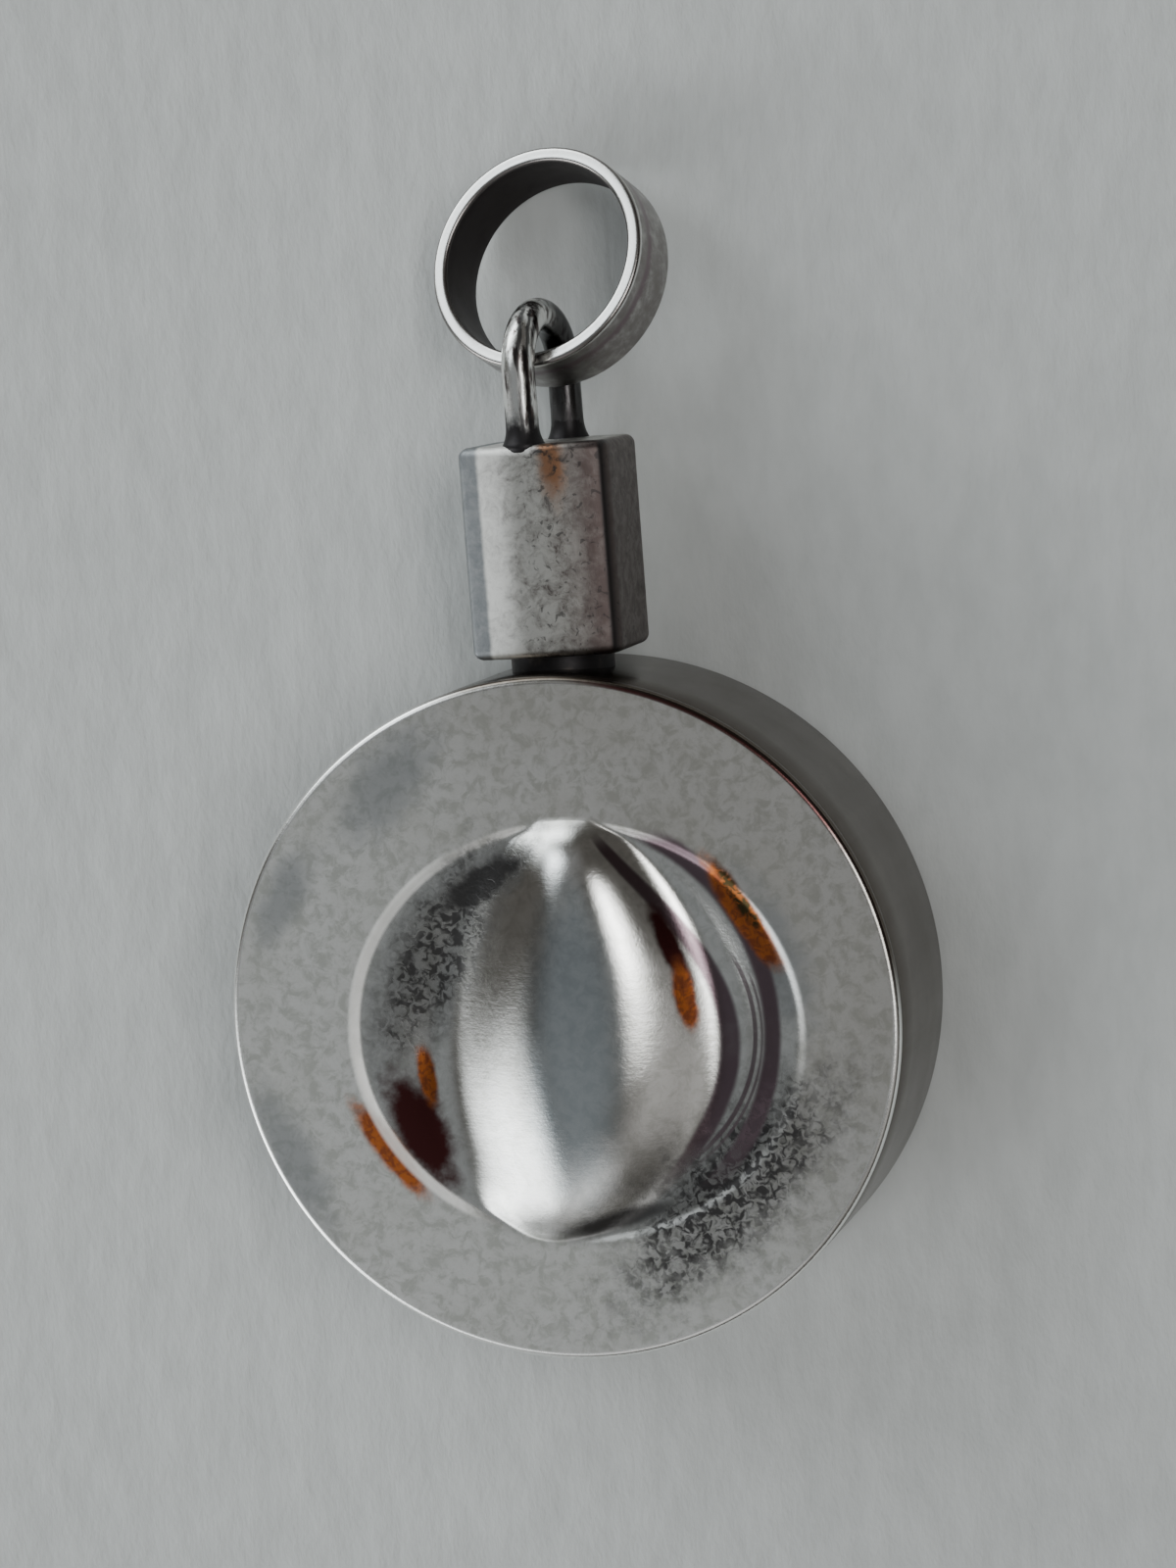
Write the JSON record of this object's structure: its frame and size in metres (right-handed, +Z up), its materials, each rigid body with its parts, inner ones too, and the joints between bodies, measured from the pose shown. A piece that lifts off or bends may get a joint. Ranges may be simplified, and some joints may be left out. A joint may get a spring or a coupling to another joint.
{
  "type": "perfume bottle pendant",
  "caption": "Round flat silver perfume flask pendant with a moulded front, a square screw cap with a wire loop, and a band bail ring.",
  "frame": {"origin": "centre of the flask's flat back face, on which the pendant lies", "axes": "+Z up through the moulded front, +Y along the neck towards the bail ring, +X to the right"},
  "size_m": [0.025, 0.0438, 0.0099],
  "materials": {
    "silver_polished": "worn polish with soft tarnish",
    "silver_worn": "scratched and stained silver",
    "silver_oxidised": "bright edges, dark oxide inside"
  },
  "bodies": {
    "flask": {"flask": "silver_polished"},
    "cap": {"cap": "silver_worn", "bail_ring": "silver_oxidised"}
  },
  "joints": [
    {"name": "cap_off", "type": "slide", "parent": "flask", "child": "cap", "axis": [0, 1, 0], "range_m": [0, 0.008]}
  ]
}
